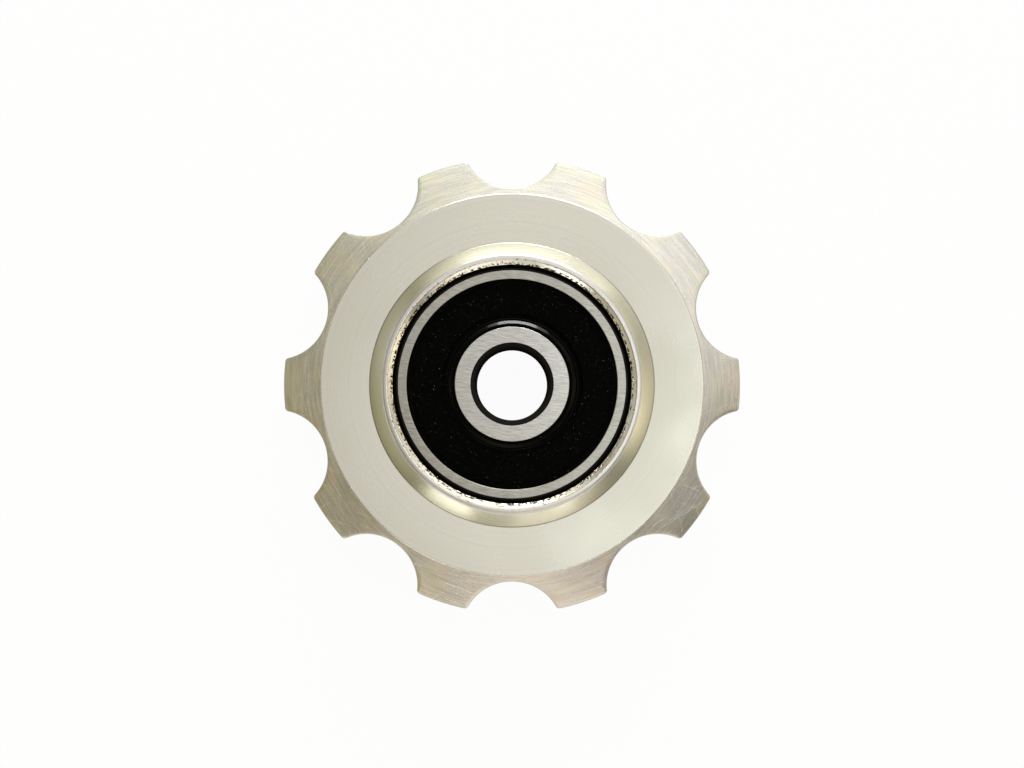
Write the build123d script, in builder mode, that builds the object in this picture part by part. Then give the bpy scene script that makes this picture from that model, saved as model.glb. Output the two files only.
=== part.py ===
from build123d import *
import math
import os

# Guide wheel for a bicycle chain: a ten-tooth aluminium wheel turning on a sealed ball bearing.
# The wheel lies flat. Z is the axle's line, and the origin is the middle of the axle bore,
# half way between the two hub faces. All sizes are in millimetres and all angles in degrees.

# Chain and teeth
chain_pitch = 12.7
tooth_count = 10
gullet_radius = 4.2
tooth_height = 2.7
tooth_root_thickness = 2.1
tooth_tip_thickness = 1.3
tooth_corner_radius = 0.35
tooth_edge_break = 0.08

# Disc between the hub and the teeth, a little thicker at its edge than at the hub
disc_edge_thickness = 2.7
disc_foot_thickness = 2.2
disc_margin = 0.42
disc_edge_chamfer = 0.1

# Hub around the bearing seat
hub_overhang = 0.3
seat_relief_width = 0.25
seat_relief_depth = 1.0
seat_chamfer = 0.4
hub_land_width = 0.38
hub_flank_run = 1.28
hub_crest_fillet = 0.2
hub_foot_fillet = 0.25
stop_height = 0.6

# Bearing envelope
bearing_bore = 6.0
bearing_diameter = 19.0
bearing_width = 6.0
bore_corner_radius = 0.4
ring_corner_radius = 0.3
inner_ring_end_wall = 1.68
outer_ring_end_wall = 0.9
ring_edge_break = 0.05

# Balls and raceways
ball_diameter = 3.5
ball_count = 6
race_groove_radius = 1.82
race_clearance = 0.02
shoulder_height = 0.7

# Riveted cage
cage_sheet_thickness = 0.3
cage_band_width = 1.6
pocket_clearance = 0.08
rivet_diameter = 0.6
rivet_head_diameter = 1.1
rivet_head_height = 0.22
rivet_head_rounding = 0.18

# Rubber seals
seal_recess = 0.2
seal_cage_gap = 0.15
seal_lip_gap = 0.06
seal_rim_depth = 0.22
seal_shelf_width = 0.45
seal_shelf_depth = 0.07
seal_web_bevel = 0.12
seal_waist_width = 0.3
seal_lip_width = 0.2
seal_lip_slope = 0.5
seal_lip_rise = 0.06
lip_seat_depth = 0.2
lip_seat_slope = 0.2

# Places worked out from the sizes
pitch_radius = chain_pitch / 2 / math.sin(math.radians(180 / tooth_count))
root_radius = pitch_radius - gullet_radius
tip_radius = root_radius + tooth_height
disc_radius = root_radius - disc_margin

seat_radius = bearing_diameter / 2
hub_half_width = bearing_width / 2 + hub_overhang
relief_radius = seat_radius + seat_relief_width
land_outer_radius = relief_radius + seat_chamfer + hub_land_width
hub_foot_radius = land_outer_radius + hub_flank_run
stop_radius = seat_radius - stop_height

ring_half_width = bearing_width / 2
bore_radius = bearing_bore / 2
inner_end_radius = bore_radius + inner_ring_end_wall
outer_end_radius = seat_radius - outer_ring_end_wall

ball_radius = ball_diameter / 2
ball_pitch_radius = (bore_radius + seat_radius) / 2
inner_race_radius = ball_pitch_radius - ball_radius - race_clearance
outer_race_radius = ball_pitch_radius + ball_radius + race_clearance
inner_shoulder_radius = ball_pitch_radius - ball_radius + shoulder_height
outer_shoulder_radius = ball_pitch_radius + ball_radius - shoulder_height

pocket_radius = ball_radius + pocket_clearance
pocket_outer_radius = pocket_radius + cage_sheet_thickness
cage_inner_radius = ball_pitch_radius - cage_band_width / 2
cage_outer_radius = ball_pitch_radius + cage_band_width / 2

seal_floor = pocket_outer_radius + seal_cage_gap
seal_face = ring_half_width - seal_recess
seal_shelf = seal_face - seal_shelf_depth
seal_middle = (seal_floor + seal_face) / 2
seal_rim_radius = outer_end_radius + seal_rim_depth
seal_lip_radius = inner_end_radius + seal_lip_gap
seal_crest_radius = seal_lip_radius + seal_lip_width
seal_waist_inner_radius = seal_crest_radius + seal_lip_slope
seal_waist_outer_radius = seal_waist_inner_radius + seal_waist_width
seal_web_radius = outer_end_radius - seal_shelf_width


def write(part, name):
    """Labels a finished piece and writes it as its own file."""
    part.label = name
    export_step(part, f"parts/{name}.step")


def ring_edges(part, radius):
    """The circular edges of a turned piece that have this radius."""
    circles = part.edges().filter_by(GeomType.CIRCLE)
    return circles.filter_by(lambda edge: abs(edge.radius - radius) < 1e-6)


def lies_on_outline(edge):
    """True for an edge that runs along the teeth, where the outline meets a tooth face."""
    middle = edge @ 0.5
    reach = math.hypot(middle.X, middle.Y)
    runs_along = abs((edge @ 1 - edge @ 0).Z) < tooth_edge_break
    return runs_along and abs(middle.Z) > tooth_edge_break and reach > (disc_radius + root_radius) / 2


os.makedirs("parts", exist_ok=True)

# Toothed wheel: turned as one blank, bored from the front up to a stop, then the gullets are milled
with BuildPart() as toothed_wheel:
    with BuildSketch(Plane.XZ):
        with BuildLine():
            Polyline(
                (stop_radius, 0),
                (stop_radius, hub_half_width),
                (land_outer_radius, hub_half_width),
                (hub_foot_radius, disc_foot_thickness / 2),
                (disc_radius, disc_edge_thickness / 2),
                (disc_radius, tooth_root_thickness / 2),
                (tip_radius, tooth_tip_thickness / 2),
                (tip_radius, 0),
                close=True,
            )
        make_face()
        mirror(about=Plane.XZ)
    revolve(axis=Axis.Z)
    fillet(ring_edges(toothed_wheel.part, hub_foot_radius), radius=hub_foot_fillet)
    fillet(ring_edges(toothed_wheel.part, land_outer_radius), radius=hub_crest_fillet)
    disc_edges = ring_edges(toothed_wheel.part, disc_radius).group_by(Axis.Z)
    chamfer(disc_edges[0] + disc_edges[-1], length=disc_edge_chamfer)
    with Locations((0, 0, hub_half_width)):
        Hole(radius=seat_radius, depth=bearing_width + hub_overhang)
        Hole(radius=relief_radius, depth=hub_overhang + seat_relief_depth)
    chamfer(ring_edges(toothed_wheel.part, relief_radius).sort_by(Axis.Z)[-1:], length=seat_chamfer)
    with BuildSketch():
        Circle(tip_radius)
        with PolarLocations(pitch_radius, tooth_count, start_angle=180 / tooth_count):
            Circle(gullet_radius, mode=Mode.SUBTRACT)
        corners = vertices().filter_by(lambda point: abs(point.center().length - tip_radius) < 1e-6)
        fillet(corners, radius=tooth_corner_radius)
    extrude(amount=hub_half_width, both=True, mode=Mode.INTERSECT)
    outline_edges = toothed_wheel.edges().filter_by(lies_on_outline)
    chamfer(outline_edges, length=tooth_edge_break)
write(toothed_wheel.part, "toothed_wheel")

# Outer ring: raceway inside, a groove near each face for the seal's rim
with BuildPart() as outer_ring:
    groove_centre = outer_race_radius - race_groove_radius
    groove_angle = math.degrees(math.acos((outer_shoulder_radius - groove_centre) / race_groove_radius))
    with BuildSketch(Plane.XZ):
        with BuildLine():
            raceway = CenterArc((groove_centre, 0), race_groove_radius, 0, groove_angle)
            Polyline(
                raceway @ 1,
                (outer_shoulder_radius, seal_floor),
                (seal_rim_radius, seal_floor),
                (seal_rim_radius, seal_middle),
                (outer_end_radius, seal_shelf),
                (outer_end_radius, ring_half_width - ring_edge_break),
                (outer_end_radius + ring_edge_break, ring_half_width),
                (seat_radius, ring_half_width),
                (seat_radius, 0),
                raceway @ 0,
            )
        make_face()
        mirror(about=Plane.XZ)
    revolve(axis=Axis.Z)
    fillet(ring_edges(outer_ring.part, seat_radius), radius=ring_corner_radius)
write(outer_ring.part, "outer_ring")

# Inner ring: raceway outside, and a seat near each face for the seal's lip
with BuildPart() as inner_ring:
    groove_centre = inner_race_radius + race_groove_radius
    groove_angle = math.degrees(math.acos((groove_centre - inner_shoulder_radius) / race_groove_radius))
    with BuildSketch(Plane.XZ):
        with BuildLine():
            raceway = CenterArc((groove_centre, 0), race_groove_radius, 180, -groove_angle)
            Polyline(
                raceway @ 1,
                (inner_shoulder_radius, seal_floor - lip_seat_depth - lip_seat_slope),
                (inner_end_radius, seal_floor - lip_seat_depth),
                (inner_end_radius, ring_half_width - ring_edge_break),
                (inner_end_radius - ring_edge_break, ring_half_width),
                (bore_radius, ring_half_width),
                (bore_radius, 0),
                raceway @ 0,
            )
        make_face()
        mirror(about=Plane.XZ)
    revolve(axis=Axis.Z)
    fillet(ring_edges(inner_ring.part, bore_radius), radius=bore_corner_radius)
write(inner_ring.part, "inner_ring")

# Front seal: a rim that snaps into the outer ring, a flat web, a thin waist and a raised lip
with BuildPart() as front_seal:
    with BuildSketch(Plane.XZ):
        with BuildLine():
            Polyline(
                (seal_rim_radius, seal_floor),
                (seal_rim_radius, seal_middle),
                (outer_end_radius, seal_shelf),
                (seal_web_radius, seal_shelf),
                (seal_web_radius - seal_shelf_depth, seal_face),
                (seal_waist_outer_radius + seal_web_bevel, seal_face),
                (seal_waist_outer_radius, seal_middle),
                (seal_waist_inner_radius, seal_middle),
                (seal_crest_radius, seal_face + seal_lip_rise),
                (seal_lip_radius, seal_face + seal_lip_rise),
                (seal_lip_radius, seal_floor),
                close=True,
            )
        make_face()
    revolve(axis=Axis.Z)
write(front_seal.part, "front_seal")

# Rear seal: the same moulding, turned over
with BuildPart() as rear_seal:
    mirror(front_seal.part, about=Plane.XY)
write(rear_seal.part, "rear_seal")

# Front half of the cage: a pressed strip, flat between the balls and domed over each of them
with BuildPart() as cage_front:
    Cylinder(cage_outer_radius, cage_sheet_thickness, align=(Align.CENTER, Align.CENTER, Align.MIN))
    with PolarLocations(ball_pitch_radius, ball_count):
        Sphere(pocket_outer_radius)
    with BuildSketch():
        Circle(cage_outer_radius)
        Circle(cage_inner_radius, mode=Mode.SUBTRACT)
    extrude(amount=2 * pocket_outer_radius, mode=Mode.INTERSECT)
    with PolarLocations(ball_pitch_radius, ball_count):
        Sphere(pocket_radius, mode=Mode.SUBTRACT)
    with PolarLocations(ball_pitch_radius, ball_count, start_angle=180 / ball_count):
        Hole(radius=rivet_diameter / 2)
write(cage_front.part, "cage_front")

# Rear half of the cage: the same pressing, turned over
with BuildPart() as cage_rear:
    mirror(cage_front.part, about=Plane.XY)
write(cage_rear.part, "cage_rear")

# Balls, each in its own pocket
for index in range(ball_count):
    with BuildPart() as ball:
        with PolarLocations(ball_pitch_radius, 1, start_angle=index * 360 / ball_count):
            Sphere(ball_radius)
    write(ball.part, f"ball_{index + 1}")

# Rivets, half way between the balls, with a rounded head on each face of the cage
for index in range(ball_count):
    with BuildPart() as rivet:
        with PolarLocations(ball_pitch_radius, 1, start_angle=(index + 0.5) * 360 / ball_count):
            Cylinder(rivet_diameter / 2, 2 * cage_sheet_thickness)
            with Locations((0, 0, cage_sheet_thickness)):
                Cylinder(rivet_head_diameter / 2, rivet_head_height, align=(Align.CENTER, Align.CENTER, Align.MIN))
            with Locations((0, 0, -cage_sheet_thickness)):
                Cylinder(rivet_head_diameter / 2, rivet_head_height, align=(Align.CENTER, Align.CENTER, Align.MAX))
        head_edges = rivet.edges().filter_by(GeomType.CIRCLE).group_by(Axis.Z)
        fillet(head_edges[0] + head_edges[-1], radius=rivet_head_rounding)
    write(rivet.part, f"rivet_{index + 1}")
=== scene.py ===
"""A turned and milled guide wheel for a bicycle chain on its sealed ball bearing, seen from straight above.

Lengths are in metres and angles in radians, unless a name or a description says otherwise.
"""

import logging
import math
from dataclasses import dataclass, replace
from enum import Enum
from functools import cache, cached_property
from typing import Callable, Iterable, Optional, Sequence, Union

import bmesh
import bpy
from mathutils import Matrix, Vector, noise


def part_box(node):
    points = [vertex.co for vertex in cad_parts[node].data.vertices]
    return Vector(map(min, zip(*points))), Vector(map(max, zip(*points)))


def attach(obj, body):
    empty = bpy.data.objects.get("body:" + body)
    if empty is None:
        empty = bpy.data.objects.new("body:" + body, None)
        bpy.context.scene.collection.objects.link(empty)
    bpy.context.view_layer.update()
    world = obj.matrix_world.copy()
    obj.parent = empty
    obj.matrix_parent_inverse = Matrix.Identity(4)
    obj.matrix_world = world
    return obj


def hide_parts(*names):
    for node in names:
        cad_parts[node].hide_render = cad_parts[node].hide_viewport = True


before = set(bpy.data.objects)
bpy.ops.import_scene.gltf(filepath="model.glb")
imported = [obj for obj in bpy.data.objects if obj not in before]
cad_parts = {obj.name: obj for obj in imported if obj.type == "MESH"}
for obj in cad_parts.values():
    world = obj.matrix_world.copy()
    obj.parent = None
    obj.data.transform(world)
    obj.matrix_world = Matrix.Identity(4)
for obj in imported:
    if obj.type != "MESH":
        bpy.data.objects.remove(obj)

MM = 0.001
LOG = logging.getLogger("guide_wheel")

Colour = tuple[float, float, float]
Point = tuple[float, float]
Place = tuple[float, float, float]
Socket = bpy.types.NodeSocket
Value = Union[float, Socket]

BLACK: Colour = (0.0, 0.0, 0.0)
WHITE: Colour = (1.0, 1.0, 1.0)
# Near black for the bearing's seat, the rings' hidden walls and the bore: painted shade in those recesses
PAINTED_SHADE_BLACK: Colour = (0.012, 0.011, 0.010)
RUBBER_BLACK: Colour = (0.0015, 0.0015, 0.0014)

# Where a noise's values mostly lie, and the steeper part of that
NOISE_RANGE = (0.3, 0.7)
NOISE_MIDDLE = (0.35, 0.65)

# The noise level above which the rarest spots show, how far a full share lowers it, and the spots' soft edge
SPOT_LEVEL = 0.74
SPOT_SPREAD = 0.3
SPOT_BLUR = 0.06

# Stray scratches: directions with noise scales, how drawn out they are, noise levels, brightness and colour
SCRATCH_LAYERS = ((0.35, 9000.0), (1.35, 8000.0), (2.6, 9500.0))
SCRATCH_STRETCH = (0.03, 1.0, 0.03)
SCRATCH_LEVELS = (0.69, 0.74)
SCRATCH_SHARE = 0.2
SCRATCH_COLOUR: Colour = (0.95, 0.94, 0.92)

# How the roughness varies: the scale of its patches, their share of it, and the marks' share of it
ROUGH_SCALE = 130.0
ROUGH_SPREAD = 0.1
ROUGH_MARKS = 0.2

# How a finish's kinds of spots are turned against each other, and the share of that by which they lean
SPOT_TURN = 0.7
SPOT_TURN_STEP = 1.1
SPOT_LEAN = 0.3

# The places where the tints show, as a share of the scale of the tints' own patches
TINT_PLACES = 0.63

# A quarter of a turn, as the shader counts it, which lays the highlight across the marks
ACROSS_THE_MARKS = 0.25

FLOOR_GREY: Colour = (0.9, 0.9, 0.9)
GRAIN_SIZE = 0.12 * MM
MARKS_TILT = 0.12
MARKS_RADIUS = 10 * MM
JOIN_DISTANCE = 0.0001 * MM
SHARP_ANGLE = math.radians(28.0)


class Surface(Enum):
    """The kinds of surface that a piece is divided into, each with a finish of its own."""

    DISC = "disc"
    DISC_RIM = "disc_rim"
    FOOT = "foot"
    TOOTH_FACE = "tooth_face"
    MILLED = "milled"
    FLANK = "flank"
    HUB_FACE = "hub_face"
    MOUTH = "mouth"
    MOUTH_EDGE = "mouth_edge"
    SEAT = "seat"
    OUTER_RING_FACE = "outer_ring_face"
    INNER_RING_FACE = "inner_ring_face"
    RING_CORNER = "ring_corner"
    BORE = "bore"
    RACEWAY = "raceway"
    RUBBER = "rubber"
    LIP = "lip"
    BALL = "ball"
    SHEET_STEEL = "sheet_steel"


class Sketch:
    """A node tree, with short ways to add and join its nodes."""

    def __init__(self, tree: bpy.types.NodeTree) -> None:
        """Clears the tree.

        Args:
            tree: the node tree to build in.
        """
        self.tree = tree
        tree.nodes.clear()

    def add(self, kind: str, settings: Optional[dict] = None, **inputs: object) -> bpy.types.Node:
        """Adds a node.

        Args:
            kind: the node's type, which for a shader node may leave out the ShaderNode in front.
            settings: the node's own properties.
            inputs: values or sockets for its inputs, with underscores for the spaces in their names.

        Returns:
            The new node.
        """
        node = self.tree.nodes.new(kind if "Node" in kind else "ShaderNode" + kind)
        for key, value in (settings or {}).items():
            setattr(node, key, value)
        for key, value in inputs.items():
            self.put(node.inputs[key.replace("_", " ")], value)
        return node

    @cached_property
    def position(self) -> Socket:
        """The Object coordinates."""
        return self.add("TexCoord").outputs["Object"]

    def put(self, socket: Socket, value: object) -> None:
        """Links a socket to an input, or sets the input's value.

        Args:
            socket: the input.
            value: a socket or a value, where a colour needs no alpha.
        """
        if isinstance(value, bpy.types.NodeSocket):
            self.tree.links.new(value, socket)
        elif socket.type == "RGBA":
            socket.default_value = (*value, 1.0)
        else:
            socket.default_value = value

    def math(self, operation: str, *values: object, kind: str = "Math", output: str = "Value") -> Socket:
        """Adds a Math node, or its like for vectors.

        Args:
            operation: the node's operation.
            values: its inputs in order, as values or sockets.
            kind: the node's type.
            output: the name of the output to give back.

        Returns:
            The node's output.
        """
        node = self.add(kind, {"operation": operation})
        for socket, value in zip(node.inputs, values):
            self.put(socket, value)
        return node.outputs[output]

    def vector(self, x: Value = 0.0, y: Value = 0.0, z: Value = 0.0) -> Socket:
        """Joins three numbers or sockets into a vector."""
        return self.add("CombineXYZ", X=x, Y=y, Z=z).outputs[0]

    def ramp(
        self, value: Socket, low: float, high: float, to_low: float = 0.0, to_high: float = 1.0
    ) -> Socket:
        """Maps a value from one range to another, smoothly and without running past the ends.

        Args:
            value: the socket to map.
            low: the input that gives to_low.
            high: the input that gives to_high.
            to_low: the output at low.
            to_high: the output at high.

        Returns:
            The mapped value.
        """
        ends = {"From_Min": low, "From_Max": high, "To_Min": to_low, "To_Max": to_high}
        return self.add("MapRange", {"interpolation_type": "SMOOTHSTEP"}, Value=value, **ends).outputs[0]

    def mix(self, factor: Value, first: object, second: object) -> Socket:
        """Mixes two colours.

        Args:
            factor: 0 for the first colour and 1 for the second.
            first: a colour or a socket.
            second: a colour or a socket.

        Returns:
            The mixed colour.
        """
        node = self.add("Mix", {"data_type": "RGBA"})
        # The node has inputs and outputs for every type of data, and these are the ones for colours
        for number, value in ((0, factor), (6, first), (7, second)):
            self.put(node.inputs[number], value)
        return node.outputs[2]

    def noise(
        self, vector: Socket, scale: float = 1.0, detail: float = 2.0, roughness: float = 0.5
    ) -> Socket:
        """Adds a noise texture.

        Args:
            vector: where it is read.
            scale: its scale.
            detail: its number of octaves.
            roughness: the share that each finer octave keeps.

        Returns:
            Its value, around 0.5.
        """
        values = {"Scale": scale, "Detail": detail, "Roughness": roughness}
        return self.add("TexNoise", None, Vector=vector, **values).outputs[0]

    def drawn_out(self, rotation: Place, scale: Place) -> Socket:
        """The Object coordinates, turned and then scaled, which draws out what is read there."""
        turned = self.add("Mapping", None, Vector=self.position, Rotation=rotation)
        return self.add("Mapping", None, Vector=turned.outputs[0], Scale=scale).outputs[0]

    def blend(self, factor: Value, first: bpy.types.Node, second: bpy.types.Node) -> bpy.types.Node:
        """Mixes two shaders.

        Args:
            factor: 0 for the first shader and 1 for the second.
            first: the first shader.
            second: the second shader.

        Returns:
            The mixed shader.
        """
        node = self.add("MixShader", None, Fac=factor)
        self.put(node.inputs[1], first.outputs[0])
        self.put(node.inputs[2], second.outputs[0])
        return node

    def end(self, kind: str, last: bpy.types.Node) -> None:
        """Joins the last node to the tree's output, which is a node of the given type."""
        self.put(self.add(kind).inputs[0], last.outputs[0])


@dataclass(frozen=True)
class Marks:
    """The lines that a cutter or a grinding wheel leaves.

    Args:
        pitch: the distance between them.
        depth: their depth.
        tone: how much darker the colour gets between them.
        length: how many times longer than their distance they are, or 0 for whole circles.
        straight: whether they are straight lines instead of circles round the axle.
    """

    pitch: float
    depth: float
    tone: float = 0.06
    length: float = 33.0
    straight: bool = False

    def pattern(self, sketch: Sketch) -> Socket:
        """The height of the lines.

        Args:
            sketch: the material's tree.

        Returns:
            A value around 0.5.
        """
        x, y, z = sketch.add("SeparateXYZ", None, Vector=sketch.position).outputs
        across = 1.0 / self.pitch
        along = across / self.length if self.length else 0.0
        if self.straight:
            tilted = sketch.math("MULTIPLY_ADD", x, MARKS_TILT, y)
            parts = ((x, along), (tilted, across), (z, across))
        else:
            reach = sketch.math("LENGTH", sketch.vector(x, y), kind="VectorMath")
            parts = ((x, along), (y, along), (sketch.math("SUBTRACT", reach, z), across))
        place = sketch.vector(*(sketch.math("MULTIPLY", part, scale) for part, scale in parts))
        return sketch.noise(place, detail=3.0, roughness=0.6)


@dataclass(frozen=True)
class Flecks:
    """Small spots such as pits, stains, burrs or dust.

    Args:
        size: their size.
        colour: their colour.
        share: how much of the surface they cover, from 0 to 1.
        height: how far they stand out, or below 0 for pits.
        stretch: how many times longer they are in one direction.
    """

    size: float
    colour: Colour
    share: float = 0.2
    height: float = 0.0
    stretch: float = 1.0

    def pattern(self, sketch: Sketch, turn: float) -> Socket:
        """Where the spots are.

        Args:
            sketch: the material's tree.
            turn: turns the pattern, so that two of them differ.

        Returns:
            1 on a spot and 0 elsewhere.
        """
        place = sketch.drawn_out((SPOT_LEAN * turn, 0.0, turn), (1.0 / self.stretch, 1.0, 1.0))
        grain = sketch.noise(place, scale=1.0 / self.size, detail=2.0, roughness=0.6)
        edge = SPOT_LEVEL - SPOT_SPREAD * self.share
        return sketch.ramp(grain, edge, edge + SPOT_BLUR)


@dataclass(frozen=True)
class Finish:
    """A metal or rubber finish.

    Args:
        name: the material's name.
        colour: its base colour, linear.
        roughness: its mean roughness.
        metallic: 1 for metal and 0 for rubber.
        stretch: how far the highlight is drawn out across the marks.
        specular: the specular level, for what isn't metal.
        marks: the lines of the tool that made it.
        flecks: its kinds of spots.
        scratch: the depth of stray scratches.
        tints: two colours that the base colour is multiplied by in soft patches.
        tint_size: the size of those patches.
        grain: how much a fine grain varies the colour.
    """

    name: str
    colour: Colour
    roughness: float
    metallic: float = 1.0
    stretch: float = 0.0
    specular: float = 0.5
    marks: Optional[Marks] = None
    flecks: tuple[Flecks, ...] = ()
    scratch: float = 0.0
    tints: Optional[tuple[Colour, Colour]] = None
    tint_size: float = 2.0 * MM
    grain: float = 0.04

    @staticmethod
    def scratches(sketch: Sketch) -> Socket:
        """Thin stray scratches in three directions.

        Args:
            sketch: the material's tree.

        Returns:
            1 in a scratch and 0 elsewhere.
        """
        lines = []
        for turn, scale in SCRATCH_LAYERS:
            place = sketch.drawn_out((0.0, 0.0, turn), SCRATCH_STRETCH)
            lines.append(sketch.ramp(sketch.noise(place, scale=scale, detail=1.0), *SCRATCH_LEVELS))
        return sketch.math("MAXIMUM", sketch.math("MAXIMUM", *lines[:2]), lines[2])

    def tinted(self, sketch: Sketch) -> Socket:
        """The base colour with its patches and its grain.

        Args:
            sketch: the material's tree.

        Returns:
            The colour.
        """
        grain = sketch.noise(sketch.position, scale=1.0 / GRAIN_SIZE, detail=2.0, roughness=0.7)
        colour = sketch.mix(sketch.ramp(grain, *NOISE_RANGE, 1.0 - self.grain, 1.0), BLACK, self.colour)
        if self.tints:
            first, second = (tuple(c * t for c, t in zip(self.colour, tint)) for tint in self.tints)
            patch = sketch.noise(sketch.position, scale=1.0 / self.tint_size, detail=2.0)
            other = sketch.mix(sketch.ramp(patch, *NOISE_MIDDLE), first, second)
            where = sketch.noise(sketch.position, scale=TINT_PLACES / self.tint_size, detail=1.0)
            colour = sketch.mix(sketch.ramp(where, *NOISE_MIDDLE), colour, other)
        return colour

    def material(self) -> bpy.types.Material:
        """Builds the material.

        Returns:
            The new material.
        """
        made = bpy.data.materials.new(self.name)
        made.use_nodes = True
        made.diffuse_color = (*self.colour, 1.0)
        sketch = Sketch(made.node_tree)
        colour = self.tinted(sketch)
        patch = sketch.noise(sketch.position, scale=ROUGH_SCALE, detail=2.0)
        ends = (self.roughness * (1.0 - ROUGH_SPREAD), self.roughness * (1.0 + ROUGH_SPREAD))
        rough = sketch.ramp(patch, *NOISE_RANGE, *ends)
        heights: list[Socket] = []
        if self.marks:
            lines = self.marks.pattern(sketch)
            colour = sketch.mix(sketch.ramp(lines, *NOISE_RANGE, 1.0 - self.marks.tone, 1.0), BLACK, colour)
            rough = sketch.math("MULTIPLY_ADD", lines, self.roughness * ROUGH_MARKS, rough)
            heights.append(sketch.math("MULTIPLY", lines, self.marks.depth))
        if self.scratch:
            cuts = self.scratches(sketch)
            heights.append(sketch.math("MULTIPLY", cuts, -self.scratch))
            colour = sketch.mix(sketch.math("MULTIPLY", cuts, SCRATCH_SHARE), colour, SCRATCH_COLOUR)
        for number, fleck in enumerate(self.flecks):
            spots = fleck.pattern(sketch, SPOT_TURN + SPOT_TURN_STEP * number)
            colour = sketch.mix(spots, colour, fleck.colour)
            if fleck.height:
                heights.append(sketch.math("MULTIPLY", spots, fleck.height))
        values = {"Base_Color": colour, "Metallic": self.metallic, "Specular_IOR_Level": self.specular}
        if self.stretch:
            tangent = sketch.add("Tangent", {"direction_type": "UV_MAP", "uv_map": "marks"})
            values |= {"Anisotropic": self.stretch, "Anisotropic_Rotation": ACROSS_THE_MARKS}
            values["Tangent"] = tangent.outputs[0]
        if heights:
            total = heights[0]
            for more in heights[1:]:
                total = sketch.math("ADD", total, more)
            values["Normal"] = sketch.add("Bump", None, Height=total, Distance=1.0, Strength=1.0).outputs[0]
        sketch.end("OutputMaterial", sketch.add("BsdfPrincipled", None, Roughness=rough, **values))
        return made


GROUND = Marks(0.07 * MM, 0.002 * MM, 0.36, 14.0, True)

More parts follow.
